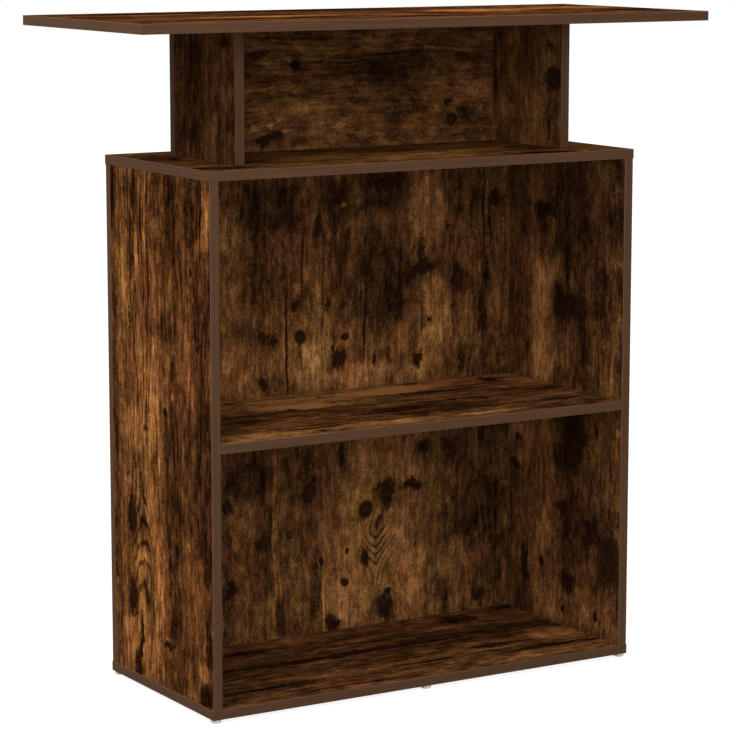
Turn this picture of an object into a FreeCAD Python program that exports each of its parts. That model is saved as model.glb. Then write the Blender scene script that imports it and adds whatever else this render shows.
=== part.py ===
# A free-standing reception desk of melamine-faced board: an open cabinet of two bays, a niche of two
# risers and a back, and an overhanging counter. The panels are banded where an edge shows and are held by
# dowels, cam fittings and connecting screws. Millimetres, +Z up, the open side towards -Y, and the origin
# on the floor under the middle of the desk.

import FreeCAD
import Part
from FreeCAD import Placement, Rotation, Vector

import os

# Driving dimensions of the carcass
board = 15.0
band = 1.0
band_round = 0.8
counter_width = 1000.0
counter_depth = 400.0
cabinet_width = 760.0
cabinet_depth = 340.0
side_height = 790.0
side_reveal = 1.0
lower_bay_height = 387.5
riser_width = 600.0
riser_depth = 210.0
riser_height = 200.0

# Feet: a moulded glide with a recess for the head of its nail
glide_diameter = 16.0
glide_height = 5.0
glide_round = 1.5
glide_margin = 1.0
nail_diameter = 2.0
nail_head_diameter = 5.0
nail_head_height = 1.0
nail_recess = 2.5
nail_depth = 10.0

# Where the fittings stand along an edge, and what a blind hole leaves under it
end_inset = 50.0
long_edge_inset = 110.0
blind_floor = 4.0
hole_gap = 0.5
fit_clearance = 0.1

# Wooden dowels
dowel_diameter = 8.0
dowel_edge_depth = 20.0
dowel_chamfer = 1.0

# Cam fittings: a bolt in the face of one panel, and a drum let into the other that draws its head in
cam_diameter = 15.0
cam_floor = 3.0
cam_setback = 34.0
cam_wall = 3.0
cam_slot_length = 9.0
cam_slot_width = 1.2
cam_slot_depth = 2.0
bolt_channel_diameter = 8.0
bolt_thread_diameter = 5.0
bolt_collar_height = 1.5
bolt_shank_diameter = 6.0
bolt_neck_diameter = 4.0
bolt_neck_length = 7.0
bolt_head_diameter = 6.5
bolt_head_length = 3.5
cap_diameter = 18.0
cap_thickness = 0.4

# Connecting screws with a countersunk head, driven through a panel into the edge of the next
screw_length = 50.0
screw_head_diameter = 10.0
screw_head_height = 3.0
screw_shank_diameter = 7.0
screw_core_diameter = 5.0
screw_tip_length = 3.0
screw_socket_width = 4.0
screw_socket_depth = 2.5

# Heights, from the floor up
base_bottom = glide_height
side_bottom = base_bottom + board
shelf_bottom = side_bottom + lower_bay_height
shelf_top = shelf_bottom + board
side_top = side_bottom + side_height
riser_bottom = side_top + board
riser_top = riser_bottom + riser_height
counter_height = riser_top + board

# Distances from the middle of the desk
counter_x = counter_width / 2
counter_y = counter_depth / 2
cabinet_x = cabinet_width / 2
cabinet_y = cabinet_depth / 2
side_out = cabinet_x - side_reveal
side_in = side_out - board
side_mid = side_out - board / 2
back_in = cabinet_y - board
back_mid = cabinet_y - board / 2
riser_x = riser_width / 2
riser_in = riser_x - board
riser_mid = riser_x - board / 2
riser_y = riser_depth / 2
riser_back_in = riser_y - board
riser_back_mid = riser_y - board / 2
blind_depth = board - blind_floor

up = Vector(0, 0, 1)
down = Vector(0, 0, -1)
right = Vector(1, 0, 0)
front = Vector(0, -1, 0)

# What each panel is bored with, and the solids of each hardware node
bores = {}
hardware = {}


def box(low, high):
    size = Vector(*high) - Vector(*low)
    return Part.makeBox(size.x, size.y, size.z, Vector(*low))


def turned(profile):
    """A turned solid about Z, from its (radius, height) corners listed from bottom to top."""
    outline = [Vector(r, 0, z) for r, z in profile]
    first = Vector(0, 0, profile[0][1])
    last = Vector(0, 0, profile[-1][1])
    wire = Part.makePolygon([first, *outline, last, first])
    return Part.Face(wire).revolve(Vector(), up, 360)


def stand(shape, at, axis, side=None):
    """A copy of a shape made about Z, set at a point, its Z along axis and, if given, its X along side."""
    rotation = Rotation(up, axis)
    if side is not None:
        rotation = Rotation(side, axis.cross(side), axis, "ZXY")
    placed = shape.copy()
    placed.Placement = Placement(at, rotation)
    return placed


def bore(panel, tool):
    bores.setdefault(panel, []).append(tool)


def add(node, solid):
    hardware.setdefault(node, []).append(solid)


# Panels and their edging

def edging(low, high, axis, end):
    """One band on the low or high end of a panel along an axis, with its two long outer edges rounded."""
    low, high = list(low), list(high)
    outer = high[axis] if end == "high" else low[axis]
    if end == "high":
        low[axis] = outer - band
    else:
        high[axis] = outer + band
    strip = box(low, high)
    length = max(edge.Length for edge in strip.Edges)
    outside = [edge for edge in strip.Edges if abs(edge.CenterOfMass[axis] - outer) < fit_clearance]
    rounded = [edge for edge in outside if length - edge.Length < fit_clearance]
    return strip.makeFillet(min(band_round, band - fit_clearance), rounded)


def panel(low, high, banded):
    """The board of a panel and its bands on the listed ends. Front and back bands run past the side ones."""
    core_low, core_high = list(low), list(high)
    for axis, end in banded:
        if end == "low":
            core_low[axis] += band
        else:
            core_high[axis] -= band
    strips = []
    for axis, end in banded:
        strip_low, strip_high = list(low), list(high)
        if axis == 0:
            strip_low[1], strip_high[1] = core_low[1], core_high[1]
        strips.append(edging(strip_low, strip_high, axis, end))
    return box(core_low, core_high), strips


all_round = [(0, "low"), (0, "high"), (1, "low"), (1, "high")]
both_ends = [(0, "low"), (0, "high")]
front_only = [(1, "low")]

panels = {
    "counter_top": panel(
        (-counter_x, -counter_y, riser_top), (counter_x, counter_y, counter_height), all_round),
    "cabinet_top": panel(
        (-cabinet_x, -cabinet_y, side_top), (cabinet_x, cabinet_y, riser_bottom), all_round),
    "base_panel": panel(
        (-cabinet_x, -cabinet_y, base_bottom), (cabinet_x, cabinet_y, side_bottom), all_round),
    "left_side": panel(
        (-side_out, -cabinet_y, side_bottom), (-side_in, back_in, side_top), front_only),
    "right_side": panel(
        (side_in, -cabinet_y, side_bottom), (side_out, back_in, side_top), front_only),
    "back_panel": panel(
        (-side_out, back_in, side_bottom), (side_out, cabinet_y, side_top), both_ends),
    "middle_shelf": panel(
        (-side_in, -cabinet_y, shelf_bottom), (side_in, back_in, shelf_top), front_only),
    "left_riser": panel(
        (-riser_x, -riser_y, riser_bottom), (-riser_in, riser_back_in, riser_top), front_only),
    "right_riser": panel(
        (riser_in, -riser_y, riser_bottom), (riser_x, riser_back_in, riser_top), front_only),
    "riser_back": panel(
        (-riser_x, riser_back_in, riser_bottom), (riser_x, riser_y, riser_top), both_ends),
}


# Fittings, each made about Z with the joint's plane at zero and the edge that it enters above

def dowel():
    radius = dowel_diameter / 2 - fit_clearance
    narrow = radius - dowel_chamfer
    return turned([
        (narrow, -blind_depth),
        (radius, -blind_depth + dowel_chamfer),
        (radius, dowel_edge_depth - dowel_chamfer),
        (narrow, dowel_edge_depth),
    ])


def cam_bolt():
    thread = bolt_thread_diameter / 2 - fit_clearance
    collar = bolt_channel_diameter / 2 - fit_clearance
    head_start = cam_setback - bolt_head_length / 2
    return turned([
        (thread / 2, -blind_depth),
        (thread, -blind_depth + thread / 2),
        (thread, 0),
        (collar, 0),
        (collar, bolt_collar_height),
        (bolt_shank_diameter / 2, bolt_collar_height),
        (bolt_shank_diameter / 2, head_start - bolt_neck_length),
        (bolt_neck_diameter / 2, head_start - bolt_neck_length),
        (bolt_neck_diameter / 2, head_start),
        (bolt_head_diameter / 2, head_start),
        (bolt_head_diameter / 2, head_start + bolt_head_length),
    ])


def cam():
    """The drum, with its face at zero and its body below. The bolt comes in from -X at half the board."""
    radius = cam_diameter / 2 - fit_clearance
    depth = board - cam_floor - fit_clearance
    level = Vector(0, 0, -board / 2)
    drum = Part.makeCylinder(radius, depth, Vector(0, 0, -depth))
    reach = radius + bolt_head_length / 2 + fit_clearance
    head = Part.makeCylinder(bolt_head_diameter / 2 + fit_clearance, reach, level - right * radius, right)
    # The neck's slot runs half way round the drum, so that the drum can turn about the bolt
    neck = bolt_neck_diameter / 2 + fit_clearance
    slot = Part.makeCylinder(radius, 2 * neck, level - up * neck, up, 180)
    slot = slot.cut(Part.makeCylinder(radius - cam_wall, 2 * neck, level - up * neck, up))
    slot.rotate(level, up, 180)
    drum = drum.cut([head, slot])
    for turn in (0, 90):
        groove = Part.makeBox(cam_slot_length, cam_slot_width, cam_slot_depth)
        groove.translate(Vector(-cam_slot_length / 2, -cam_slot_width / 2, -cam_slot_depth))
        groove.rotate(Vector(), up, turn)
        drum = drum.cut(groove)
    return drum


def connecting_screw():
    """The screw, with its head flush in the far face of the panel that it goes through."""
    shank = screw_shank_diameter / 2
    core = screw_core_diameter / 2
    head = -board
    tip = head + screw_length
    screw = turned([
        (screw_head_diameter / 2, head),
        (shank, head + screw_head_height),
        (shank, 0),
        (core, 0),
        (core, tip - screw_tip_length),
        (core / 2, tip),
    ])
    corner = Vector(screw_socket_width / 2, 0, head)
    socket = Part.makePolygon([Rotation(up, 60 * k).multVec(corner) for k in range(7)])
    return screw.cut(Part.Face(socket).extrude(up * screw_socket_depth))


def screw_hole():
    """The countersunk hole through the first panel, and the pilot hole in the edge of the next."""
    head = -board
    shank = screw_shank_diameter / 2 + fit_clearance
    through = turned([
        (screw_head_diameter / 2 + fit_clearance, head),
        (shank, head + screw_head_height + fit_clearance),
        (shank, 0),
    ])
    depth = screw_length - board + hole_gap
    pilot = Part.makeCylinder(screw_core_diameter / 2 + fit_clearance, depth)
    return through, pilot


def dowel_joint(node, face_panel, edge_panel, at, into_edge):
    """A dowel at a point on the joint, from the face of one panel into the edge of the other."""
    add(node, stand(dowel(), at, into_edge))
    radius = dowel_diameter / 2
    bore(face_panel, Part.makeCylinder(radius, blind_depth + hole_gap, at, -into_edge))
    bore(edge_panel, Part.makeCylinder(radius, dowel_edge_depth + hole_gap, at, into_edge))


def cam_joint(node, bolt_panel, cam_panel, at, into_edge, cam_face):
    """A bolt at a point on the joint, and a cam let into a face of the panel whose edge the bolt enters."""
    add(node + "_cam_bolts", stand(cam_bolt(), at, into_edge))
    bore(bolt_panel, Part.makeCylinder(bolt_thread_diameter / 2, blind_depth + hole_gap, at, -into_edge))
    bore(cam_panel, Part.makeCylinder(bolt_channel_diameter / 2, cam_setback, at, into_edge))
    seat = at + into_edge * cam_setback + cam_face * (board / 2)
    add(node + "_cams", stand(cam(), seat, cam_face, into_edge))
    bore(cam_panel, Part.makeCylinder(cam_diameter / 2, board - cam_floor, seat, -cam_face))
    add(cam_panel + "_cam_caps", Part.makeCylinder(cap_diameter / 2, cap_thickness, seat, cam_face))


def screw_joint(node, through_panel, edge_panel, at, into_edge):
    """A screw at a point on the joint, through the face of one panel into the edge of the other."""
    add(node, stand(connecting_screw(), at, into_edge))
    through, pilot = screw_hole()
    bore(through_panel, stand(through, at, into_edge))
    bore(edge_panel, stand(pilot, at, into_edge))


def ends(low, high, inset):
    return low + inset, high - inset


# Joints of the cabinet

side_stations = ends(-cabinet_y, back_in, end_inset)
side_middle = (back_in - cabinet_y) / 2
bay_middles = ((side_bottom + shelf_bottom) / 2, (shelf_top + side_top) / 2)
shelf_mid = (shelf_bottom + shelf_top) / 2

for side, hand in (("left_side", -1), ("right_side", 1)):
    inward = right * -hand
    x = hand * side_mid
    face = hand * side_in
    for y in side_stations:
        cam_joint("cabinet_top", "cabinet_top", side, Vector(x, y, side_top), down, inward)
        screw_joint("base_screws", "base_panel", side, Vector(x, y, side_bottom), up)
        cam_joint("shelf", side, "middle_shelf", Vector(face, y, shelf_mid), inward, down)
    dowel_joint("cabinet_top_dowels", "cabinet_top", side, Vector(x, side_middle, side_top), down)
    dowel_joint("base_dowels", "base_panel", side, Vector(x, side_middle, side_bottom), up)
    dowel_joint("shelf_dowels", side, "middle_shelf", Vector(face, side_middle, shelf_mid), inward)
    for z in bay_middles:
        cam_joint("back_panel", "back_panel", side, Vector(x, back_in, z), front, inward)
    dowel_joint("back_panel_dowels", "back_panel", side, Vector(x, back_in, shelf_mid), front)

for x in ends(-side_in, side_in, long_edge_inset):
    dowel_joint("cabinet_top_dowels", "cabinet_top", "back_panel", Vector(x, back_mid, side_top), down)
    screw_joint("base_screws", "base_panel", "back_panel", Vector(x, back_mid, side_bottom), up)

# Joints of the niche and the counter

riser_stations = ends(-riser_y, riser_back_in, end_inset)
riser_middle = (riser_back_in - riser_y) / 2
riser_centre = (riser_bottom + riser_top) / 2

for riser, hand in (("left_riser", -1), ("right_riser", 1)):
    inward = right * -hand
    x = hand * riser_mid
    for y in riser_stations:
        screw_joint("riser_screws", "cabinet_top", riser, Vector(x, y, riser_bottom), up)
        cam_joint("counter", "counter_top", riser, Vector(x, y, riser_top), down, inward)
    dowel_joint("counter_dowels", "counter_top", riser, Vector(x, riser_middle, riser_top), down)
    cam_joint("riser_back", "riser_back", riser, Vector(x, riser_back_in, riser_centre), front, inward)
    for z in ends(riser_bottom, riser_top, end_inset):
        dowel_joint("riser_back_dowels", "riser_back", riser, Vector(x, riser_back_in, z), front)

for x in ends(-riser_in, riser_in, long_edge_inset):
    screw_joint("riser_screws", "cabinet_top", "riser_back", Vector(x, riser_back_mid, riser_bottom), up)
    dowel_joint("counter_dowels", "counter_top", "riser_back", Vector(x, riser_back_mid, riser_top), down)


# Feet

def glide():
    """The moulded foot, standing on zero, with a recess and a hole for its nail."""
    foot = Part.makeCylinder(glide_diameter / 2, glide_height)
    rim = [edge for edge in foot.Edges if edge.BoundBox.ZMax < fit_clearance]
    foot = foot.makeFillet(glide_round, rim)
    recess = Part.makeCylinder(nail_head_diameter / 2 + fit_clearance, nail_recess)
    hole = Part.makeCylinder(nail_diameter / 2 + fit_clearance, glide_height)
    return foot.cut([recess, hole])


def nail():
    """The nail, with its head up against the roof of the recess and its point in the base."""
    shank = nail_diameter / 2
    head = nail_recess - nail_head_height
    point = glide_height + nail_depth
    return turned([
        (nail_head_diameter / 2, head),
        (nail_head_diameter / 2, nail_recess),
        (shank, nail_recess),
        (shank, point - nail_diameter),
        (shank / 4, point),
    ])


glide_inset = glide_diameter / 2 + glide_margin
for x in (-cabinet_x + glide_inset, 0, cabinet_x - glide_inset):
    for y in ends(-cabinet_y, cabinet_y, glide_inset):
        spot = Vector(x, y, 0)
        add("foot_glides", stand(glide(), spot, up))
        add("glide_nails", stand(nail(), spot, up))
        nail_hole = Part.makeCylinder(nail_diameter / 2 + fit_clearance, nail_depth + hole_gap)
        bore("base_panel", stand(nail_hole, spot + up * base_bottom, up))


# One file for each node

os.makedirs("parts", exist_ok=True)
for name, (core, strips) in panels.items():
    bored = core.cut(bores[name]).removeSplitter()
    bored.exportStep(f"parts/{name}.step")
    Part.makeCompound(strips).exportStep(f"parts/{name}_edging.step")
for name, solids in hardware.items():
    Part.makeCompound(solids).exportStep(f"parts/{name}.step")
print(f"{2 * len(panels) + len(hardware)} nodes")
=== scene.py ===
import math
from functools import partial

import bpy
from mathutils import Matrix, Vector


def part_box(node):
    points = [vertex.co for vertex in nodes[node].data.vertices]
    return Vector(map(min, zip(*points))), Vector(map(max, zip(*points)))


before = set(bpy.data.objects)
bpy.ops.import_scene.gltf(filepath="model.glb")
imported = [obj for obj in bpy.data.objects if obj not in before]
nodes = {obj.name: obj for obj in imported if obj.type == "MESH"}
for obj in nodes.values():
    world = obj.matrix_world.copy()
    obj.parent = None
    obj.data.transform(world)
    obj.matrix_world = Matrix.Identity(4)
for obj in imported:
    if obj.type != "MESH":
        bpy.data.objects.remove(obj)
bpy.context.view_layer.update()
print("frame loaded:", len(nodes), "nodes")

toMillimetres = 1000.0
axes = {"X": Vector((1, 0, 0)), "Y": Vector((0, 1, 0)), "Z": Vector((0, 0, 1))}


# Small helpers

def toLinear(hexColour):
    channels = [int(hexColour[k:k + 2], 16) / 255 for k in (1, 3, 5)]
    return [c / 12.92 if c <= 0.04045 else ((c + 0.055) / 1.055) ** 2.4 for c in channels] + [1.0]


def addNode(tree, kind, links, **settings):
    node = tree.nodes.new("ShaderNode" + kind)
    for name, value in settings.items():
        setattr(node, name, value)
    for socket, source in links.items():
        if isinstance(source, bpy.types.Node):
            source = source.outputs[0]
        if isinstance(source, bpy.types.NodeSocket):
            tree.links.new(source, node.inputs[socket])
        else:
            node.inputs[socket].default_value = source
    return node


def newMaterial(name):
    material = bpy.data.materials.new(name)
    material.use_nodes = True
    material.node_tree.nodes.clear()
    return material, partial(addNode, material.node_tree)


def setRamp(node, stops):
    ramp = node.color_ramp
    while len(ramp.elements) < len(stops):
        ramp.elements.new(1.0)
    for element, (position, value) in zip(ramp.elements, stops):
        element.position = position
        element.color = toLinear(value) if isinstance(value, str) else (value, value, value, 1.0)


def dress(nodeNames, material):
    for name in nodeNames:
        mesh = nodes[name].data
        mesh.materials.clear()
        mesh.materials.append(material)


# Smoked oak decor: melamine paper printed with old planks and pressed matt onto chipboard.
# It gives the eye a warm brown that goes from near black to gold within a hand's width, with seams, knots
# and scorched patches, and next to no gloss. Sizes are millimetres, and tones run from 0, near black, to 1,
# pale gold. A noise is given as width, length, detail and roughness, a turn as the values it runs between.

oak = {
    "tones": [
        (0.00, "#150c08"), (0.12, "#24160e"), (0.30, "#3d2819"), (0.48, "#5a3c25"),
        (0.66, "#795534"), (0.84, "#9d7045"), (1.00, "#c39160"),
    ],
    "tints": [                   # layer, then the two tints it turns between: red and olive, grey and warm
        ("broad", "#fff0ec", "#fbfce7"),
        ("figure", "#f9faff", "#fff6de"),
    ],
    "tintTurn": (0.35, 0.65),
    "roughness": (0.60, 0.80), "roughnessTurn": (0.3, 0.7),
    "specularLevel": 0.0,        # even at a grazing angle the matt print shows no reflection
    "relief": {"noise": (3.2, 48.0, 1.0, 0.5), "strength": 0.12, "height": 0.0004},
    "seedStep": (613.0, 397.0, 211.0),     # sets the boards far apart in the pattern
    "depthStretch": 40.0,        # sets the two faces of a board far apart in the pattern
    "skin": 6.0,                 # a listed mark stays on its own face of the board
    "sway": {"noise": (70.0, 170.0, 2.0, 0.5), "across": 10.0, "along": 14.0},
    "fray": {"noise": (26.0, 52.0, 5.0, 0.7), "across": 16.0, "along": 30.0},
    "layers": [                  # name, noise, half of its turn, tone, share left among the listed marks
        ("broad", (60.0, 210.0, 3.0, 0.55), 0.25, 0.36, 0.43),
        ("cloud", (21.0, 34.0, 7.0, 0.74), 0.25, 0.27, 1.0),
        ("flake", (9.0, 28.0, 4.0, 0.60), 0.03, 0.06, 1.0),        # a narrow turn, so its edges are crisp
        ("figure", (11.0, 140.0, 3.0, 0.55), 0.25, 0.07, 1.0),
        ("fibre", (3.2, 48.0, 3.0, 0.60), 0.20, 0.08, 1.0),        # real fibres are finer, but would not show
        ("speckle", (2.6, 3.6, 2.0, 0.60), 0.25, 0.16, 1.0),
    ],
    "streaky": ("figure", "fibre"),        # the layers that a board's streaks make stronger
    "ring": {
        "tip": 8.0,              # how blunt an arch is
        "sway": (60.0, 300.0, 3.0, 0.5), "swayRings": 5.0,
        "tone": -0.30, "lineTurn": (0.3, 1.0),
        "figureTurn": (0.60, 0.40), "share": 0.3,                  # rings show where the figure is dark
    },
    "markTone": 1.1,             # how strongly the listed marks show
    "markEdge": {"rings": 0.4, "tones": 0.6, "lines": 0.4, "smoke": 0.15},      # 1 is hard, 0 is soft
    "markReach": 2.0,            # half sizes from a mark's centre to its softest edge
    "smoke": {
        "noise": (55.0, 120.0, 4.0, 0.6), "turn": (0.52, 0.70), "chance": 0.8, "amongMarks": 0.3,
        "grit": (7.0, 11.0, 4.0, 0.75), "gritTurn": (0.32, 0.68), "gritBite": 0.75,
        "gain": 1.3, "full": 0.8, "black": (0.05, 0.24),
    },
    "plank": {"width": 95.0, "tone": 0.13, "seam": 2.5, "seamTone": -0.22, "sway": 0.25, "seedStep": 7.3},
    "knot": {
        "cell": (200.0, 380.0), "without": 0.5,                    # share of the cells that have no knot
        "size": 0.045, "rings": 2.4, "chanceReach": 5.0, "setReach": 4.5, "far": 9.0,
        "span": 4.0,             # half sizes that the core's ramp covers
        "core": [
            (0.0, 0.26), (0.09, 0.38), (0.16, 0.24), (0.23, 0.16), (0.30, 0.50), (0.40, 0.95), (0.75, 0.9),
        ],
    },
}
fullTone = 100                   # the boards give their tones and strengths in hundredths
rampMiddle = 0.5                 # a ramp holds no negative tone, so a plank's tone is counted from here


def grainNoise(put, where, width, length, detail, roughness):
    place = put("VectorMath", {0: where, 1: (1 / width, 1 / length, 1 / width)}, operation="MULTIPLY")
    return put("TexNoise", {"Vector": place, "Scale": 1.0, "Detail": detail, "Roughness": roughness})


def grainMove(put, where, move):
    noise = grainNoise(put, where, *move["noise"])
    reach = Vector((move["across"], move["along"], 0))
    return put("VectorMath", {0: noise.outputs["Color"], 1: 2 * reach, 2: -reach}, operation="MULTIPLY_ADD")


def ovalReach(put, where, centre, halves):
    shrink = Vector([1 / half for half in halves])
    oval = put("VectorMath", {0: where, 1: shrink, 2: -shrink * Vector(centre)}, operation="MULTIPLY_ADD")
    return put("VectorMath", {0: oval}, operation="LENGTH").outputs["Value"]


def addMarks(put, where, face, board, kind, gain, total):
    edge = oak["markEdge"][kind]
    for across, along, halfWidth, halfLength, strength in board[kind]:
        reach = ovalReach(put, where, (across, along, face), (halfWidth, halfLength, oak["skin"]))
        full = gain * strength / fullTone
        soft = put("MapRange", {0: reach, 1: oak["markReach"] - edge, 2: edge, 3: 0.0, 4: full},
                   interpolation_type="SMOOTHSTEP")
        total = put("Math", {0: total, 1: soft}, operation="ADD")
    return total


def smokedOak(board):
    material, put = newMaterial("smoked_oak_melamine." + board["node"])
    across, along = axes[board["across"]], axes[board["along"]]
    depth = across.cross(along)
    low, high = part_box(board["node"])
    face = depth.dot(low if board["facing"][0] == "-" else high) * toMillimetres
    ring, knot, plank, smoke, relief = (oak[key] for key in ("ring", "knot", "plank", "smoke", "relief"))

    # Millimetres across the grain, along it and through the board
    where = put("TexCoord", {})
    place = put("Mapping", {
        "Vector": where.outputs["Object"],
        "Rotation": Matrix((across, along, depth)).to_euler(),
        "Scale": (toMillimetres,) * 3,
    })
    seedMove = board["seed"] * Vector(oak["seedStep"])
    spread = (1, 1, oak["depthStretch"])
    apart = put("VectorMath", {0: place, 1: spread, 2: seedMove}, operation="MULTIPLY_ADD")
    parts = put("SeparateXYZ", {0: place})
    shown = put("Math", {0: parts.outputs["Z"], 1: face, 2: oak["skin"]}, operation="COMPARE")

    # The grain wanders slowly, and the edges of marks are frayed
    sway = grainMove(put, apart, oak["sway"])
    swayed = put("VectorMath", {0: place, 1: sway}, operation="ADD")
    grain = put("VectorMath", {0: apart, 1: sway}, operation="ADD")
    fray = grainMove(put, apart, oak["fray"])
    frayed = put("VectorMath", {0: swayed, 1: fray}, operation="ADD")

    # Knots by chance on the faces without marks, and as listed on the face with them
    cellWidth, cellLength = knot["cell"]
    cell = put("VectorMath", {0: grain, 1: (1 / cellWidth, 1 / cellLength, 0)}, operation="MULTIPLY")
    chanceKnot = put("TexVoronoi", {"Vector": cell, "Scale": 1.0}, voronoi_dimensions="2D")
    chanceLot = put("SeparateColor", {0: chanceKnot.outputs["Color"]})
    noKnot = put("Math", {0: chanceLot, 1: knot["without"]}, operation="LESS_THAN")
    noKnot = put("Math", {0: noKnot, 1: shown}, operation="ADD")
    nearest = put("Math", {0: chanceKnot.outputs["Distance"], 1: knot["size"]}, operation="DIVIDE")
    nearest = put("Math", {0: noKnot, 1: knot["far"], 2: nearest}, operation="MULTIPLY_ADD")
    bend = put("MapRange", {0: nearest, 1: knot["chanceReach"], 2: 0.0, 3: 0.0, 4: knot["rings"]},
               interpolation_type="SMOOTHERSTEP")
    for knotAcross, knotAlong, halfWidth, halfLength, core in board["knots"]:
        reach = ovalReach(put, swayed, (knotAcross, knotAlong, face), (halfWidth, halfLength, oak["skin"]))
        fall = put("MapRange", {0: reach, 1: knot["setReach"], 2: 0.0, 3: 0.0, 4: knot["rings"]},
                   interpolation_type="SMOOTHERSTEP")
        bend = put("Math", {0: bend, 1: fall}, operation="ADD")
        if core:
            nearest = put("Math", {0: nearest, 1: reach}, operation="MINIMUM")

    # Year rings run along the board, arch over its heart and bend round every knot
    heart, archStart, archEnd, arches, ringWidth = board["heart"]
    ringSway = grainNoise(put, grain, *ring["sway"])
    ringScale = (1 / ringWidth, 0, 0)
    heartMove = (-heart / ringWidth, ring["tip"] / ringWidth, 0)
    fromHeart = put("VectorMath", {0: swayed, 1: ringScale, 2: heartMove}, operation="MULTIPLY_ADD")
    fromHeart = put("VectorMath", {0: fromHeart}, operation="LENGTH").outputs["Value"]
    archPlace = put("MapRange", {0: parts.outputs["Y"], 1: archStart, 2: archEnd, 3: 0.0, 4: arches},
                    interpolation_type="SMOOTHSTEP")
    ringPlace = put("Math", {0: fromHeart, 1: archPlace}, operation="ADD")
    ringPlace = put("Math", {0: ringPlace, 1: bend}, operation="ADD")
    ringPlace = put("Math", {0: ringSway, 1: ring["swayRings"], 2: ringPlace}, operation="MULTIPLY_ADD")
    ringTurn = put("Math", {0: ringPlace, 1: 2 * math.pi}, operation="MULTIPLY")
    ringWave = put("Math", {0: ringTurn}, operation="SINE")

    # Layers of noise, from broad shade to speckle
    tone = board["tone"] / fullTone
    layers = {}
    for name, noise, half, size, share in oak["layers"]:
        layers[name] = grainNoise(put, grain, *noise)
        size = size * board["streaks"] if name in oak["streaky"] else size
        stretched = put("MapRange", {0: layers[name], 1: 0.5 - half, 2: 0.5 + half, 3: -size, 4: size})
        if share < 1:
            strength = put("Math", {0: shown, 1: share - 1, 2: 1.0}, operation="MULTIPLY_ADD")
            stretched = put("Math", {0: stretched, 1: strength}, operation="MULTIPLY")
        tone = put("Math", {0: stretched, 1: tone}, operation="ADD")

    # The hue wanders with some of the layers
    turnStart, turnEnd = oak["tintTurn"]
    tint = toLinear(board["tint"])
    for name, first, second in oak["tints"]:
        hue = put("SeparateColor", {0: layers[name].outputs["Color"]})
        hueTurn = put("MapRange", {0: hue.outputs[1], 1: turnStart, 2: turnEnd})
        pair = put("Mix", {0: hueTurn, 6: toLinear(first), 7: toLinear(second)}, data_type="RGBA")
        tint = put("Mix", {0: 1.0, 6: pair.outputs[2], 7: tint}, data_type="RGBA", blend_type="MULTIPLY")
        tint = tint.outputs[2]

    # Rings show where the figure is dark, and where they are listed
    turnStart, turnEnd = ring["lineTurn"]
    ringLine = put("MapRange", {0: ringWave, 1: turnStart, 2: turnEnd, 3: 0.0, 4: ring["tone"]})
    turnStart, turnEnd = ring["figureTurn"]
    ringShare = ring["share"] * board["streaks"]
    ringHere = put("MapRange", {0: layers["figure"], 1: turnStart, 2: turnEnd, 3: 0.0, 4: ringShare})
    ringHere = addMarks(put, swayed, face, board, "rings", 1.0, ringHere)
    tone = put("Math", {0: ringLine, 1: ringHere, 2: tone}, operation="MULTIPLY_ADD")

    # Plank seams: as listed on the face with marks, and by chance elsewhere
    swayParts = put("SeparateXYZ", {0: sway})
    seamPlace = put("Math", {0: swayParts, 1: plank["sway"], 2: parts}, operation="MULTIPLY_ADD")
    # on the middle shelf the listed plank tones also hold painted light, as that board says
    for bottom, top, seams in board["planks"]:
        start, end = seams[0][0], seams[-1][0]
        plankPlace = put("MapRange", {0: seamPlace, 1: start, 2: end})
        plankRamp = put("ValToRGB", {0: plankPlace})
        stops = [((mm - start) / (end - start), rampMiddle + step / fullTone) for mm, step in seams]
        setRamp(plankRamp, stops)
        listed = put("Math", {0: plankRamp, 1: -rampMiddle}, operation="ADD")
        middle, reach = (bottom + top) / 2, (top - bottom) / 2
        here = put("Math", {0: parts.outputs["Y"], 1: middle, 2: reach}, operation="COMPARE")
        listed = put("Math", {0: listed, 1: here}, operation="MULTIPLY")
        tone = put("Math", {0: listed, 1: shown, 2: tone}, operation="MULTIPLY_ADD")
    seedMove = plank["seedStep"] * board["seed"]
    chancePlace = put("Math", {0: seamPlace, 1: 1 / plank["width"], 2: seedMove}, operation="MULTIPLY_ADD")
    chancePlank = put("TexVoronoi", {"W": chancePlace, "Scale": 1.0}, voronoi_dimensions="1D")
    chanceTone = put("SeparateColor", {0: chancePlank.outputs["Color"]})
    chanceTone = put("MapRange", {0: chanceTone, 3: -plank["tone"], 4: plank["tone"]})
    seamGap = put("TexVoronoi", {"W": chancePlace, "Scale": 1.0}, voronoi_dimensions="1D",
                  feature="DISTANCE_TO_EDGE")
    seamReach = plank["seam"] / plank["width"]
    seamTone = put("MapRange", {0: seamGap, 1: 0.0, 2: seamReach, 3: plank["seamTone"], 4: 0.0})
    chanceTone = put("Math", {0: chanceTone, 1: seamTone}, operation="ADD")
    hidden = put("Math", {0: 1.0, 1: shown}, operation="SUBTRACT")
    tone = put("Math", {0: chanceTone, 1: hidden, 2: tone}, operation="MULTIPLY_ADD")

    # Listed marks: soft tones, then thin lines along the grain
    # some of the listed tones are painted light that lifts shade, as their boards say
    tone = addMarks(put, frayed, face, board, "tones", oak["markTone"], tone)
    tone = addMarks(put, swayed, face, board, "lines", oak["markTone"], tone)

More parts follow.
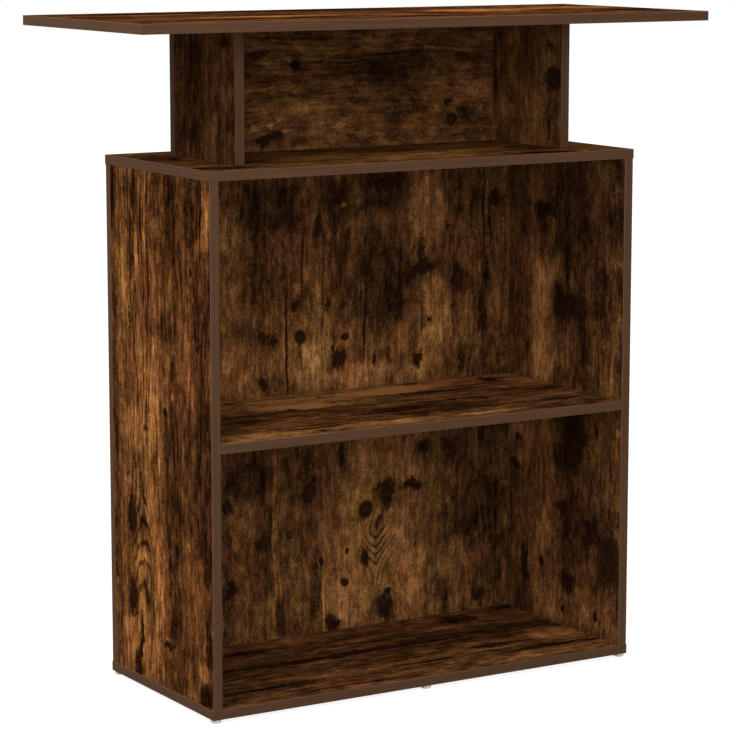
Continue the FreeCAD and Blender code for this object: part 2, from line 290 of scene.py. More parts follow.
    # Scorched patches with granular edges
    smokeNoise = grainNoise(put, grain, *smoke["noise"])
    turnStart, turnEnd = smoke["turn"]
    smokeField = put("MapRange", {0: smokeNoise, 1: turnStart, 2: turnEnd, 3: 0.0, 4: smoke["chance"]})
    smokeShare = put("Math", {0: shown, 1: smoke["amongMarks"] - 1, 2: 1.0}, operation="MULTIPLY_ADD")
    smokeField = put("Math", {0: smokeField, 1: smokeShare}, operation="MULTIPLY")
    smokeField = addMarks(put, frayed, face, board, "smoke", 1.0, smokeField)
    grit = grainNoise(put, grain, *smoke["grit"])
    gritStart, gritEnd = smoke["gritTurn"]
    gritShare = put("MapRange", {0: grit, 1: gritStart, 2: gritEnd, 3: 0.0, 4: smoke["gritBite"]})
    smokeField = put("Math", {0: smokeField, 1: smoke["gain"]}, operation="MULTIPLY")
    smokeField = put("Math", {0: smokeField, 1: gritShare}, operation="SUBTRACT")
    scorch = put("MapRange", {0: smokeField, 1: 0.0, 2: smoke["full"]}, interpolation_type="SMOOTHSTEP")
    darkest, palest = smoke["black"]
    soot = put("MapRange", {0: grit, 1: gritStart, 2: gritEnd, 3: darkest, 4: palest})
    tone = put("Mix", {0: scorch, 2: tone, 3: soot}, data_type="FLOAT")

    # A knot has a dark core with rings and a darker rim, then a pale halo
    knotPlace = put("Math", {0: nearest, 1: 1 / knot["span"]}, operation="MULTIPLY")
    knotRamp = put("ValToRGB", {0: knotPlace})
    setRamp(knotRamp, knot["core"])
    clearTone = knot["core"][-1][1]
    knotTone = put("Math", {0: knotRamp, 1: 1 / clearTone}, operation="MULTIPLY")
    tone = put("Math", {0: knotTone, 1: tone}, operation="MULTIPLY")

    # Colour: the tone's brown with the tint of its place
    brown = put("ValToRGB", {0: tone})
    setRamp(brown, oak["tones"])
    tinted = put("Mix", {0: 1.0, 6: brown, 7: tint}, data_type="RGBA", blend_type="MULTIPLY")

    # The print's own faint relief, from fibres alone
    fibres = grainNoise(put, apart, *relief["noise"])
    bump = put("Bump", {"Height": fibres, "Strength": relief["strength"], "Distance": relief["height"]})
    turnStart, turnEnd = oak["roughnessTurn"]
    smooth, rough = oak["roughness"]
    gloss = put("MapRange", {0: layers["fibre"], 1: turnStart, 2: turnEnd, 3: smooth, 4: rough})
    shader = put("BsdfPrincipled", {
        "Base Color": tinted.outputs[2], "Roughness": gloss, "Normal": bump,
        "Specular IOR Level": oak["specularLevel"],
    })
    put("OutputMaterial", {0: shader})
    return material


# What each board shows on its best face. Places are millimetres in the frame.
# heart: across, then where its arches start and end along the grain, how many there are, and the ring width
# planks: where they start and end along the grain, then (across, tone) pairs that blend into each other
# rings, tones, lines and smoke: across, along, half width, half length, strength
# knots: across, along, half width, half length, then 1 for a dark core or 0 for bent rings alone

plainBoard = {                   # what a board has unless it says otherwise
    "tint": "#ffffff", "heart": (-900, 0, 1, 0, 9),      # a heart this far off leaves the rings straight
    "rings": [], "lines": [], "smoke": [], "knots": [],
}
leftSide = {
    "node": "left_side", "across": "Y", "along": "Z", "facing": "-X", "seed": 1,
    "tone": 50, "streaks": 1.8, "tint": "#f8ebe1", "heart": (60, 110, 340, 5, 12),
    "rings": [(60, 225, 36, 110, 100), (62, 560, 42, 240, 80)],
    "planks": [
        (560, 820, [
            (-170, -11), (-72, -7), (-64, -10), (-9, -6), (20, 0), (28, 6), (60, 6), (110, 8),
            (155, -8),
        ]),
        (0, 560, [
            (-170, -14), (-120, -5), (-72, -5), (-64, -11), (-18, -7), (-8, 9), (30, 9), (60, 10),
            (120, 8), (155, -8),
        ]),
    ],
    "tones": [
        (-155, 755, 15, 50, 32), (-115, 768, 26, 52, -26), (-40, 765, 20, 60, -22),
        (-25, 690, 35, 36, -12), (68, 778, 13, 36, -32), (66, 680, 8, 46, 12), (87, 700, 12, 46, -24),
        (103, 735, 12, 18, 14), (150, 770, 10, 48, -34), (10, 775, 24, 40, -12), (116, 650, 18, 62, 12),
        (2, 635, 18, 50, 12), (-145, 620, 24, 75, -10), (-90, 610, 26, 32, 6), (-105, 530, 11, 60, 9),
        (-24, 578, 22, 22, -12), (-75, 515, 17, 46, -11), (-50, 430, 16, 38, -12),
        (-148, 410, 26, 70, -24), (15, 470, 16, 75, 18), (55, 495, 18, 48, 20), (92, 490, 12, 30, -8),
        (146, 480, 10, 160, -16), (-135, 320, 32, 50, -8), (-152, 240, 15, 42, -26),
        (-105, 180, 34, 85, 11), (-55, 290, 22, 65, -12), (-44, 130, 17, 24, -20), (6, 185, 20, 60, 8),
        (26, 282, 14, 50, 18), (30, 380, 20, 50, 15), (80, 410, 34, 38, 22), (65, 322, 44, 30, 12),
        (52, 262, 9, 20, -12), (58, 216, 12, 14, 22), (40, 148, 8, 15, -20), (64, 124, 13, 36, 24),
        (24, 66, 32, 46, 13), (-35, 180, 10, 30, 8), (75, 185, 24, 26, 12), (102, 70, 16, 40, 13),
        (-157, 125, 9, 36, -24), (-140, 77, 19, 15, 28), (-145, 38, 20, 20, -34),
        (-106, 52, 16, 30, 12), (-50, 478, 7, 5, 30), (-98, 256, 5, 5, 30), (-147, 612, 5, 5, 24),
        (-20, 105, 6, 4, 22), (-140, 113, 4, 10, 22), (107, 325, 10, 8, 12), (-12, 118, 9, 18, 10),
        (136, 270, 16, 60, -15), (118, 65, 14, 26, 10),
    ],
    "lines": [
        (30, 700, 2, 100, -28), (38, 745, 2, 70, 22), (50, 740, 2, 70, -26), (58, 705, 2, 40, -30),
        (70, 600, 2, 50, -24), (80, 560, 2, 45, -22), (52, 375, 2, 34, -26), (60, 470, 2, 34, -20),
        (32, 445, 2, 26, -22), (22, 180, 2, 60, -16), (-32, 215, 3, 40, -24), (-82, 70, 2, 60, -16),
        (-97, 385, 2, 20, 20), (2, 380, 3, 34, 14), (-133, 735, 2, 36, 20),
    ],
    "smoke": [
        (92, 262, 18, 38, 100), (93, 146, 12, 29, 100), (73, 34, 12, 26, 115), (64, 86, 5, 36, 105),
        (-27, 92, 21, 7, 100), (-28, 255, 7, 17, 85), (-27, 353, 6, 16, 75), (-51, 518, 7, 36, 80),
        (-105, 715, 11, 5, 75), (-130, 567, 15, 6, 80), (151, 180, 5, 15, 95), (107, 335, 8, 4, 70),
        (38, 415, 10, 6, 75), (104, 785, 7, 20, 60),
    ],
    "knots": [
        (-55, 680, 4, 5, 1), (-110, 672, 4, 5, 1), (-25, 449, 6, 5, 1), (120, 440, 5, 6, 0),
        (85, 582, 5, 6, 0),
    ],
}
backPanel = {
    "node": "back_panel", "across": "X", "along": "Z", "facing": "-Y", "seed": 2,
    "tone": 50, "streaks": 1.0, "heart": (104, 90, 215, -6, 9),
    "rings": [(102, 160, 21, 56, 130)],
    "planks": [
        (415, 820, [
            (-380, 0), (-68, 0), (-64, 2), (-2, 3), (0, 3), (2, -3), (78, -4), (80, -6), (150, -4),
            (170, 2), (230, 2), (240, -4), (300, -8), (311, -12), (314, -4), (380, -4),
        ]),
        (0, 415, [
            (-380, 0), (-97, 0), (-95, 8), (-90, 8), (-88, -1), (-8, 0), (-2, -8), (0, 14), (3, 8),
            (27, 2), (30, 8), (190, 8), (200, 0), (300, -4), (380, -8),
        ]),
    ],
    "tones": [
        (-95, 725, 66, 46, -22), (75, 745, 80, 36, -17), (205, 720, 36, 56, 20),
        (-168, 700, 28, 36, 17), (-175, 590, 24, 60, 5), (-112, 620, 34, 60, -16),
        (-35, 625, 32, 66, -8), (22, 665, 26, 70, -10), (112, 590, 66, 72, -26), (75, 668, 30, 26, -10),
        (220, 552, 25, 46, 20), (262, 582, 16, 40, -13), (315, 570, 9, 75, -22), (-20, 490, 21, 24, 17),
        (-20, 448, 26, 28, 10), (-45, 475, 46, 42, 13), (20, 512, 24, 30, 12), (140, 500, 24, 34, 18),
        (90, 438, 90, 26, 24), (74, 515, 14, 16, -10), (206, 480, 25, 36, 24), (290, 485, 26, 44, 13),
        (-50, 628, 10, 40, 11), (238, 512, 11, 34, 22), (8, 470, 9, 60, 16), (54, 475, 13, 18, 16),
        (-72, 575, 26, 22, -11), (272, 468, 8, 26, -12), (-160, 470, 46, 46, 17),
        (270, 650, 20, 44, 14), (270, 735, 30, 40, -6), (40, 734, 7, 6, 40), (12, 680, 5, 5, 25),
        (36, 468, 4, 4, 20), (-140, 290, 40, 40, -16), (-170, 245, 18, 34, 8), (-25, 270, 18, 30, -12),
        (-70, 290, 7, 30, -12), (-50, 110, 20, 56, 7), (-62, 175, 28, 36, -9), (-18, 95, 11, 46, -24),
        (-115, 150, 30, 60, -12), (-80, 50, 10, 36, -16), (100, 165, 100, 150, 9),
        (155, 95, 46, 56, 12), (40, 66, 40, 44, 14), (250, 295, 40, 36, -12), (300, 205, 60, 46, -16),
        (335, 120, 30, 60, -16), (262, 95, 26, 44, 14), (132, 238, 36, 24, -18),
        (230, 172, 60, 24, -10), (-172, 50, 14, 34, -13), (25, 55, 16, 34, 10), (135, 155, 20, 30, 9),
        (180, 255, 24, 22, 8), (70, 282, 24, 20, 9), (270, 38, 16, 18, 12), (342, 290, 26, 40, 4),
    ],
    "lines": [
        (-66, 505, 2, 85, -45), (78, 520, 2, 60, -25), (-38, 640, 2, 60, -20), (-40, 500, 2, 30, -25),
        (313, 700, 2, 70, -25), (326, 690, 2, 50, -25), (-91, 220, 2, 110, 18), (-84, 210, 2, 100, 14),
        (0, 60, 2, 40, 22), (0, 600, 2, 130, -20), (190, 530, 2, 40, -18),
    ],
    "smoke": [
        (-80, 705, 14, 14, 80), (-10, 690, 7, 28, 100), (78, 627, 13, 15, 100), (188, 612, 28, 9, 100),
        (192, 643, 8, 26, 85), (160, 605, 12, 12, 60), (258, 605, 10, 34, 60), (335, 720, 16, 10, 90),
        (235, 680, 4, 13, 85), (-50, 565, 14, 20, 75), (-110, 517, 9, 11, 100), (-92, 512, 6, 9, 95),
        (-112, 445, 9, 16, 75), (25, 480, 12, 18, 95), (40, 474, 4, 11, 85), (98, 474, 4, 16, 80),
        (182, 465, 10, 18, 85), (204, 531, 6, 8, 75), (120, 757, 45, 16, 80), (30, 752, 20, 16, 60),
        (28, 640, 12, 40, 55), (8, 565, 7, 14, 75), (40, 570, 10, 14, 70), (268, 460, 8, 26, 65),
        (318, 560, 4, 70, 55), (122, 235, 10, 31, 100), (112, 248, 18, 6, 75), (165, 250, 17, 9, 90),
        (190, 243, 14, 6, 80), (78, 140, 6, 20, 95), (118, 45, 20, 25, 100), (12, 34, 13, 15, 90),
        (27, 24, 10, 8, 75), (226, 60, 5, 25, 65), (238, 40, 6, 30, 80), (304, 45, 16, 13, 90),
        (285, 165, 8, 34, 70), (195, 310, 16, 16, 75), (235, 318, 9, 9, 80), (35, 308, 8, 25, 95),
        (-25, 262, 16, 28, 85), (-4, 146, 4, 9, 100), (-110, 186, 12, 14, 85), (-174, 112, 15, 30, 85),
        (-178, 246, 13, 14, 80), (-172, 290, 12, 9, 75), (-28, 310, 14, 12, 60), (-82, 52, 8, 30, 60),
        (250, 300, 18, 20, 60),
    ],
    "knots": [
        (-40, 516, 8, 9, 1), (42, 512, 5, 5, 1), (81, 217, 10, 11, 1), (42, 95, 6, 6, 1),
        (125, 76, 5, 4, 1), (48, 150, 3, 4, 1),
    ],
}
rightSide = {
    "node": "right_side", "across": "Y", "along": "Z", "facing": "-X", "seed": 3,
    "tone": 48, "streaks": 0.8,
    "planks": [
        (0, 820, [
            (-170, -7), (-131, -6), (-129, -5), (-70, -4), (-68, -9), (-10, -8), (-8, 0), (20, 0),
            (22, 8), (90, 6), (92, 0), (155, 2),
        ]),
    ],
    "tones": [
        (62, 530, 26, 90, 26), (50, 612, 52, 24, 12), (-160, 530, 7, 46, 12), (-10, 480, 30, 30, 8),
        (62, 450, 40, 26, 18), (-20, 700, 100, 80, -12), (72, 745, 24, 36, 18), (-70, 510, 16, 52, -10),
        (-20, 350, 40, 60, -16), (-140, 290, 20, 60, 8), (-105, 690, 20, 40, 10),
        (118, 315, 34, 40, 20), (128, 140, 24, 90, 12), (80, 670, 14, 30, 10), (-112, 580, 32, 56, -16),
        (-150, 690, 30, 40, -18), (-162, 500, 12, 40, -14), (-25, 522, 24, 20, -10),
        # (60, 345) is painted light: it lifts the shade just under the shelf
        (-65, 458, 14, 40, -14), (60, 345, 70, 30, 18), (-90, 230, 18, 20, 15), (-140, 32, 24, 22, 12),
        (-75, 120, 30, 20, 10), (-165, 95, 12, 30, -14), (0, 622, 14, 26, 9), (-130, 508, 16, 24, -14),
        (-162, 760, 12, 40, -14), (-158, 657, 9, 14, 16), (-30, 60, 110, 36, 18), (40, 150, 40, 50, 10),
        (-110, 200, 60, 40, -12), (-160, 365, 5, 5, 25), (-35, 175, 5, 5, 25), (-145, 240, 5, 5, 20),
        (-160, 640, 5, 5, 20),
    ],
    "smoke": [
        (-65, 692, 16, 16, 90), (45, 707, 30, 12, 120), (55, 680, 10, 20, 60), (-60, 520, 16, 60, 80),
        (-15, 555, 40, 20, 100), (10, 580, 14, 20, 70), (-43, 335, 29, 38, 110), (0, 218, 11, 13, 90),
        (-20, 190, 14, 40, 70), (-150, 150, 22, 40, 90), (-120, 130, 15, 30, 60),
        (-25, 95, 22, 20, 100), (52, 122, 9, 9, 80), (100, 95, 9, 40, 90), (85, 80, 5, 30, 50),
        (112, 690, 18, 30, 60), (-150, 800, 15, 12, 80), (-160, 600, 10, 30, 70),
        (-115, 560, 15, 20, 60), (-100, 360, 8, 12, 80), (130, 270, 15, 10, 80), (145, 200, 6, 40, 70),
        (120, 320, 8, 8, 80),
    ],
    "knots": [(-105, 50, 5, 6, 1), (-12, 50, 4, 5, 1), (110, 172, 5, 6, 0)],
}
middleShelf = {
    "node": "middle_shelf", "across": "Y", "along": "X", "facing": "Z", "seed": 4,
    "tone": 59, "streaks": 1.5, "tint": "#fffafa",
    # the planks grow paler towards the back edge, partly print and partly painted light that lifts the shade
    # at the back of the shelf
    "planks": [
        (-380, 380, [(-170, -1), (-130, -2), (-100, -8), (0, -10), (24, 1), (60, 15), (155, 23)]),
    ],
    "tones": [
        (105, 100, 30, 90, 30), (50, -110, 22, 60, 29), (-130, -280, 25, 60, 18),
        (-140, -60, 20, 80, 15), (-130, 280, 36, 90, -18), (-75, 80, 40, 100, -24),
        (-10, -160, 22, 70, 14), (-80, -240, 20, 80, 8), (-155, 200, 16, 60, -12),
        (100, -60, 40, 90, 10), (90, 350, 20, 30, 14),
    ],
    "lines": [
        (20, -230, 4, 110, -36), (62, 130, 4, 150, -34), (-20, 150, 5, 160, -30),
        (-120, -190, 4, 60, -34), (-95, 240, 5, 90, -30), (-60, -20, 6, 140, -26),
        (130, -40, 4, 120, -22), (88, 250, 4, 80, -32), (-140, 120, 4, 90, 20), (40, -40, 4, 80, 20),
        (112, -120, 4, 70, 20),
    ],
    "smoke": [
        (-45, 20, 18, 75, 95), (60, 120, 18, 60, 65), (-25, -220, 12, 60, 70), (115, 300, 25, 20, 80),
        (145, 160, 10, 20, 70), (-150, -180, 12, 15, 80), (-95, 290, 14, 40, 70),
        (-35, 195, 10, 12, 80), (30, -135, 8, 12, 80), (105, -35, 7, 10, 90), (-30, -135, 12, 8, 70),
        (0, 330, 14, 40, 70),
    ],
}
basePanel = {
    "node": "base_panel", "across": "Y", "along": "X", "facing": "Z", "seed": 5,
    "tone": 49, "streaks": 1.5, "tint": "#fffaf9",
    "planks": [(-380, 380, [(-170, -3), (-40, -4), (-10, -8), (34, -8), (50, 1), (170, 4)])],
    "tones": [
        (-40, 320, 30, 50, 30), (-78, -100, 10, 130, 12), (66, 180, 14, 80, 16),
        (-140, 250, 20, 90, 12), (130, -60, 20, 60, 9), (-45, 40, 26, 80, -12), (-85, -40, 24, 36, -10),
        (-75, 330, 16, 50, 16),
    ],
    "lines": [
        (12, -60, 7, 260, -24), (-100, -250, 5, 80, -34), (-95, 40, 4, 70, -32),
        (-108, 262, 6, 60, -40), (-60, 200, 5, 60, -34), (-118, 345, 5, 30, -36),
        (60, 100, 4, 150, -24), (-150, -120, 4, 100, -28), (100, -190, 7, 60, -26),
        (-76, 180, 4, 70, 20), (-130, 40, 4, 80, 18), (80, 60, 4, 90, 18),
    ],
    "smoke": [
        (15, -50, 18, 180, 70), (110, 230, 30, 40, 80), (-100, 250, 12, 30, 100),
        (-105, -200, 18, 35, 80), (140, 340, 20, 30, 80), (100, -170, 20, 40, 70),
        (-60, 190, 14, 30, 70), (-115, 345, 12, 15, 80),
    ],
}
cabinetTop = {
    "node": "cabinet_top", "across": "Y", "along": "X", "facing": "Z", "seed": 6,
    "tone": 48, "streaks": 1.0, "tint": "#f2ece0",
    "planks": [(-380, 380, [(-170, 0), (170, 0)])],
    # (-45, 100) is partly print and partly painted light, and (-20, -100) is painted light: both lift the
    # shade under the counter
    "tones": [
        (-60, -150, 40, 60, 14), (-112, 20, 38, 120, 18), (-45, 100, 28, 140, 27),
        (-125, -330, 22, 60, -26), (-72, -255, 10, 30, -34), (-146, 225, 14, 60, -38),
        (-112, 20, 9, 18, -24), (-92, -120, 8, 60, -16), (45, 90, 36, 150, 7), (-74, -70, 18, 110, 18),
        (-74, 130, 18, 100, 16), (60, -345, 60, 36, -14), (-60, 240, 26, 36, -10),
        (-20, -100, 28, 90, 16),
    ],
}
counterTop = {
    "node": "counter_top", "across": "Y", "along": "X", "facing": "Z", "seed": 7,
    "tone": 38, "streaks": 1.0, "tint": "#eddbcf",
    "planks": [
        (-500, 500, [(-200, 2), (-72, 2), (-69, -8), (-66, -2), (58, -2), (61, -9), (64, 2), (200, 0)]),
    ],
    "tones": [
        (150, -150, 30, 300, -30), (30, 215, 40, 110, 38), (45, 400, 48, 80, 30),
        (-104, -300, 12, 190, -42), (-122, -280, 11, 170, -36), (-38, -190, 24, 150, 30),
        (-62, 440, 11, 70, -28), (-84, 430, 13, 80, -36), (-108, 450, 9, 60, -24),
        (-130, 20, 11, 85, -36), (-150, 15, 11, 90, -36), (40, -440, 14, 50, -14),
        (-60, 20, 40, 60, 18), (-35, 200, 34, 70, 24), (85, -330, 30, 70, 14), (45, -170, 36, 60, -16),
        (-5, -190, 22, 70, -14), (120, 350, 34, 60, 14), (-150, 410, 26, 70, 12),
        (-90, 100, 20, 60, -12),
    ],
    "lines": [
        (-62, -200, 2, 90, -24), (62, 60, 2, 160, -24), (64, -300, 2, 120, -18),
        (-140, 200, 2, 110, -22), (8, 330, 2, 90, -20), (110, -420, 2, 60, -20),
        (-30, -60, 2, 120, -16), (160, 120, 2, 140, -18),
    ],
    "smoke": [
        (70, -240, 12, 26, 80), (-12, 300, 10, 22, 75), (150, 20, 14, 30, 80), (-165, -120, 10, 24, 80),
        (20, -420, 9, 20, 75), (-70, 230, 8, 16, 80),
    ],
    "knots": [
        (-62, -345, 9, 13, 1), (88, -60, 7, 10, 1), (-20, 118, 5, 7, 1), (128, 300, 8, 11, 1),
        (-128, 330, 5, 7, 1),
    ],
}
leftRiser = {
    "node": "left_riser", "across": "Y", "along": "Z", "facing": "-X", "seed": 8,
    "tone": 40, "streaks": 1.0, "tint": "#eeeef2",
    "planks": [(825, 1025, [(-105, 0), (90, 0)])],
    "tones": [
        (-70, 930, 10, 50, 14), (-42, 850, 5, 40, 24), (-90, 850, 8, 30, 5), (20, 930, 30, 90, -16),
        (70, 900, 25, 80, -6),
    ],
    "lines": [(-55, 870, 2, 40, -20), (-35, 860, 2, 30, 20)],
    "smoke": [
        (-72, 1005, 12, 14, 90), (10, 990, 8, 15, 70), (30, 860, 12, 25, 60), (-85, 875, 8, 14, 70),
    ],
}
rightRiser = {
    "node": "right_riser", "across": "Y", "along": "Z", "facing": "-X", "seed": 9,
    "tone": 50, "streaks": 0.8,
    "planks": [(825, 1025, [(-105, 0), (90, 0)])],
    "tones": [(-20, 870, 15, 50, 14), (30, 960, 30, 30, 4), (75, 960, 20, 60, -14)],
    "smoke": [
        (-80, 935, 26, 20, 100), (-72, 992, 8, 8, 80), (-70, 860, 8, 30, 60), (60, 945, 15, 12, 50),
    ],
}
riserBack = {
    "node": "riser_back", "across": "Z", "along": "X", "facing": "-Y", "seed": 10,
    "tone": 45, "streaks": 0.8,
    "planks": [
        (-300, 300, [
            (825, 3), (869, 4), (871, 3), (890, 2), (929, -3), (931, -6), (974, -4), (976, 1),
            (1025, 2),
        ]),
    ],
    "tones": [
        (872, -30, 26, 110, 9), (945, 100, 25, 110, -8), (975, -100, 25, 100, 7),
        (848, 250, 24, 60, -12), (905, -100, 14, 80, -7), (900, 130, 20, 40, -8), (860, -160, 5, 5, 20),
        (885, 180, 5, 5, 20), (858, -128, 4, 8, 30), (848, -98, 4, 6, 26), (868, -110, 3, 6, 24),
    ],
    "lines": [
        (1000, -70, 2, 100, -18), (968, 70, 2, 100, -18), (960, -10, 2, 60, -18), (975, 180, 2, 60, 16),
    ],
    "smoke": [
        (960, -85, 11, 12, 70), (983, 20, 7, 18, 65), (845, -115, 8, 20, 90), (838, -145, 10, 15, 90),
        (972, -160, 8, 22, 80), (945, 110, 16, 60, 50), (962, 235, 12, 20, 65), (898, 130, 16, 18, 55),
        (895, 205, 9, 12, 80), (880, 228, 8, 12, 80), (1000, 150, 8, 70, 40),
    ],
    "knots": [(865, 208, 8, 9, 1), (955, -88, 6, 7, 1)],
}

boards = [plainBoard | board for board in (
    leftSide, backPanel, rightSide, middleShelf, basePanel, cabinetTop, counterTop,
    leftRiser, rightRiser, riserBack,
)]
for board in boards:
    covered = [name for name in (board["node"], board["node"] + "_cam_caps") if name in nodes]
    dress(covered, smokedOak(board))
print("boards dressed:", len(boards))


# Edge bands: thermoplastic strip, extruded and matt. It gives the eye one even brown with faint streaks along
# its length, and a paler line along both long edges that is partly a painted highlight, where light catches
# the band's corners, and partly scrape wear from trimming. Sizes are millimetres.

edgeBand = {
    "brown": "#513928", "streak": "#493323", "edgeHighlightAndWear": "#624734",
    "streakWidth": 2.5, "streakLength": 160.0, "streakDetail": 2.0, "streakTurn": (0.35, 0.65),
    "highlightAndWearFrom": 0.88,           # share of the half thickness at which the paler line begins
    "roughness": 0.65, "specularLevel": 0.04,
}


def matchedBand(board):
    material, put = newMaterial("matched_edge_band." + board["node"])
    thickness = "XYZ".index(board["facing"][-1])
    scale = [toMillimetres / edgeBand["streakLength"]] * 3
    scale[thickness] = toMillimetres / edgeBand["streakWidth"]
    where = put("TexCoord", {})
    place = put("Mapping", {"Vector": where.outputs["Object"], "Scale": scale})
    streaks = put("TexNoise", {"Vector": place, "Scale": 1.0, "Detail": edgeBand["streakDetail"]})
    turnStart, turnEnd = edgeBand["streakTurn"]
    streakShare = put("MapRange", {0: streaks, 1: turnStart, 2: turnEnd})
    body = put("Mix", {0: streakShare, 6: toLinear(edgeBand["streak"]), 7: toLinear(edgeBand["brown"])},
               data_type="RGBA")
    low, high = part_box(board["node"])
    middle = (low[thickness] + high[thickness]) / 2
    half = (high[thickness] - low[thickness]) / 2
    parts = put("SeparateXYZ", {0: where.outputs["Object"]})
    fromMiddle = put("Math", {0: parts.outputs[thickness], 1: middle}, operation="SUBTRACT")
    fromMiddle = put("Math", {0: fromMiddle}, operation="ABSOLUTE")
    # painted highlight, partly wear: the band turns paler towards both long edges, where light catches its
    # corners
    edgeHighlightAndWear = put("MapRange", {0: fromMiddle, 1: edgeBand["highlightAndWearFrom"] * half, 2: half})
    highlightedAndWorn = put("Mix", {0: edgeHighlightAndWear, 6: body.outputs[2], 7: toLinear(edgeBand["edgeHighlightAndWear"])}, data_type="RGBA")
    shader = put("BsdfPrincipled", {
        "Base Color": highlightedAndWorn.outputs[2], "Roughness": edgeBand["roughness"],
        "Specular IOR Level": edgeBand["specularLevel"],
    })
    put("OutputMaterial", {0: shader})
    return material


for board in boards:
    dress([board["node"] + "_edging"], matchedBand(board))
print("edges banded")


# Fittings and feet: two colours that fleck into each other over the grain, in millimetres, and a faint relief

fittings = {
    "moulded_polypropylene": {   # gives the eye an even pale grey with a soft sheen
        "nodes": ["foot_glides"], "light": "#cdc8c0", "dark": "#bdb8b0", "grain": 1.2,
        "roughness": 0.5, "metallic": 0.0,
    },
    "cast_zinc": {               # a dull, mottled grey metal
        "nodes": [name for name in nodes if name.endswith("_cams")], "light": "#b9b7b2", "dark": "#8f8d89",
        "grain": 0.8, "roughness": 0.45, "metallic": 1.0,
    },
    "zinc_plated_steel": {       # a brighter metal with a faintly cloudy plating
        "nodes": [name for name in nodes if name.endswith(("_bolts", "_screws", "_nails"))],
        "light": "#c9cbca", "dark": "#a7a9a6", "grain": 0.6, "roughness": 0.3, "metallic": 1.0,
    },
    "turned_beech": {            # pale, dry wood with fine flecks
        "nodes": [name for name in nodes if name.endswith("_dowels")], "light": "#d3ab7d", "dark": "#b88754",
        "grain": 0.7, "roughness": 0.6, "metallic": 0.0,
    },
}
fleckDetail = 3.0
fleckRelief = {"Strength": 0.15, "Distance": 0.0002}

for name, look in fittings.items():
    material, put = newMaterial(name)
    where = put("TexCoord", {})
    fleckScale = toMillimetres / look["grain"]
    fleck = put("TexNoise", {"Vector": where.outputs["Object"], "Scale": fleckScale, "Detail": fleckDetail})
    blend = put("Mix", {0: fleck, 6: toLinear(look["dark"]), 7: toLinear(look["light"])}, data_type="RGBA")
    bump = put("Bump", {"Height": fleck, **fleckRelief})
    shader = put("BsdfPrincipled", {
        "Base Color": blend.outputs[2], "Roughness": look["roughness"], "Metallic": look["metallic"],
        "Normal": bump,
    })
    put("OutputMaterial", {0: shader})
    dress(look["nodes"], material)
print("fittings and feet dressed")


# Studio: white surround, two large soft lamps from the front left, one from the upper left and a fill behind

studio = {
    "white": (1, 1, 1, 1), "skyStrength": 0.42, "backdropStrength": 1.0,
    "floorSize": 40.0, "floorGrey": "#a9a8a6", "floorPaint": "#e6e5e3",
    "floorWhite": 0.77, "whiteStrength": 1.13,
    "floorFade": (0.8, 1.8),     # metres from the middle over which the floor goes over to plain white
    "aim": (0.0, 0.0, 0.55),
    "lamps": [                   # degrees left of the front, degrees up, metres away, metres wide, watts
        ("front_low", 25, 12, 4.6, 2.6, 60.0),
        ("front_high", 25, 25, 4.6, 2.6, 60.0),
        ("left_high", 70, 50, 3.6, 1.8, 120.0),
        ("rear_fill", -118, 35, 4.6, 2.6, 150.0),
    ],
}

scene = bpy.context.scene
scene.view_settings.view_transform = "Standard"


def seenDirectly(put):
    rays = put("LightPath", {})
    direct = put("Math", {0: rays.outputs["Is Camera Ray"], 1: rays.outputs["Is Glossy Ray"]},
                 operation="ADD")
    return put("Math", {0: direct, 1: rays.outputs["Is Transmission Ray"]}, operation="ADD", use_clamp=True)


world = bpy.data.worlds.new("studio_surround")
scene.world = world
world.use_nodes = True
world.node_tree.nodes.clear()
put = partial(addNode, world.node_tree)
light = put("Background", {"Color": studio["white"], "Strength": studio["skyStrength"]})
backdrop = put("Background", {"Color": studio["white"], "Strength": studio["backdropStrength"]})
surround = put("MixShader", {0: seenDirectly(put), 1: light, 2: backdrop})
put("OutputWorld", {0: surround})

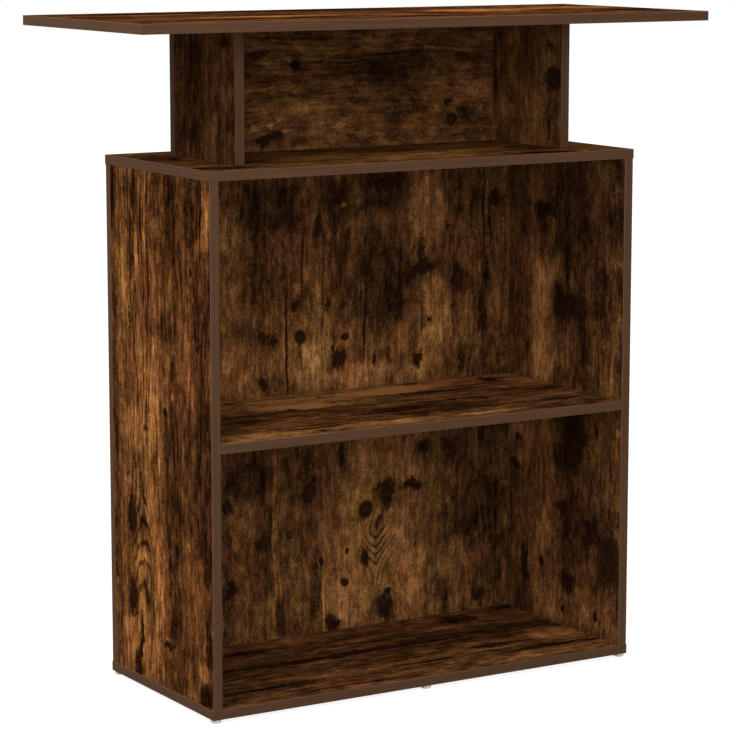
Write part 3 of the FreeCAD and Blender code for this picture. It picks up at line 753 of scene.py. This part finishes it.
floorHalf = studio["floorSize"] / 2
floorCorners = [(floorHalf * x, floorHalf * y, 0) for x, y in ((-1, -1), (1, -1), (1, 1), (-1, 1))]
floorMesh = bpy.data.meshes.new("studio_floor")
floorMesh.from_pydata(floorCorners, [], [(0, 1, 2, 3)])
floor = bpy.data.objects.new("studio_floor", floorMesh)
scene.collection.objects.link(floor)

# Floor paint: matt and plain. It gives the eye a pale ground that keeps the shadow and melts into the white
material, put = newMaterial("studio_floor_paint")
bounce = put("BsdfDiffuse", {"Color": toLinear(studio["floorGrey"])})     # keeps the light from below low
paint = put("BsdfDiffuse", {"Color": toLinear(studio["floorPaint"])})
white = put("Emission", {"Color": studio["white"], "Strength": studio["whiteStrength"]})
where = put("TexCoord", {})
away = put("VectorMath", {0: where.outputs["Object"]}, operation="LENGTH").outputs["Value"]
near, far = studio["floorFade"]
whiteShare = put("MapRange", {0: away, 1: near, 2: far, 3: studio["floorWhite"], 4: 1.0})
pale = put("MixShader", {0: whiteShare, 1: paint, 2: white})
floorLook = put("MixShader", {0: seenDirectly(put), 1: bounce, 2: pale})
put("OutputMaterial", {0: floorLook})
floorMesh.materials.append(material)

for name, turn, rise, distance, size, power in studio["lamps"]:
    lampData = bpy.data.lights.new(name, "AREA")
    lampData.energy = power
    lampData.size = size
    lamp = bpy.data.objects.new(name, lampData)
    turn, rise = math.radians(turn), math.radians(rise)
    outward = Vector((-math.cos(rise) * math.sin(turn), -math.cos(rise) * math.cos(turn), math.sin(rise)))
    lamp.location = Vector(studio["aim"]) + distance * outward
    lamp.rotation_euler = outward.to_track_quat("Z", "Y").to_euler()
    lamp.visible_camera = False
    scene.collection.objects.link(lamp)

# Camera, from a fit to the corners of the boards in the photograph: metres, radians and millimetres of lens
view = {"place": (-2.3147, -3.8040, 1.2022), "turn": 0.5451, "tilt": 0.1602, "lens": 139.57, "sensor": 36.0}
cameraData = bpy.data.cameras.new("photo_view")
cameraData.sensor_width = view["sensor"]
cameraData.lens = view["lens"]
camera = bpy.data.objects.new("photo_view", cameraData)
camera.location = view["place"]
camera.rotation_euler = (math.pi / 2 - view["tilt"], 0, -view["turn"])
scene.collection.objects.link(camera)
scene.camera = camera
print("studio ready")
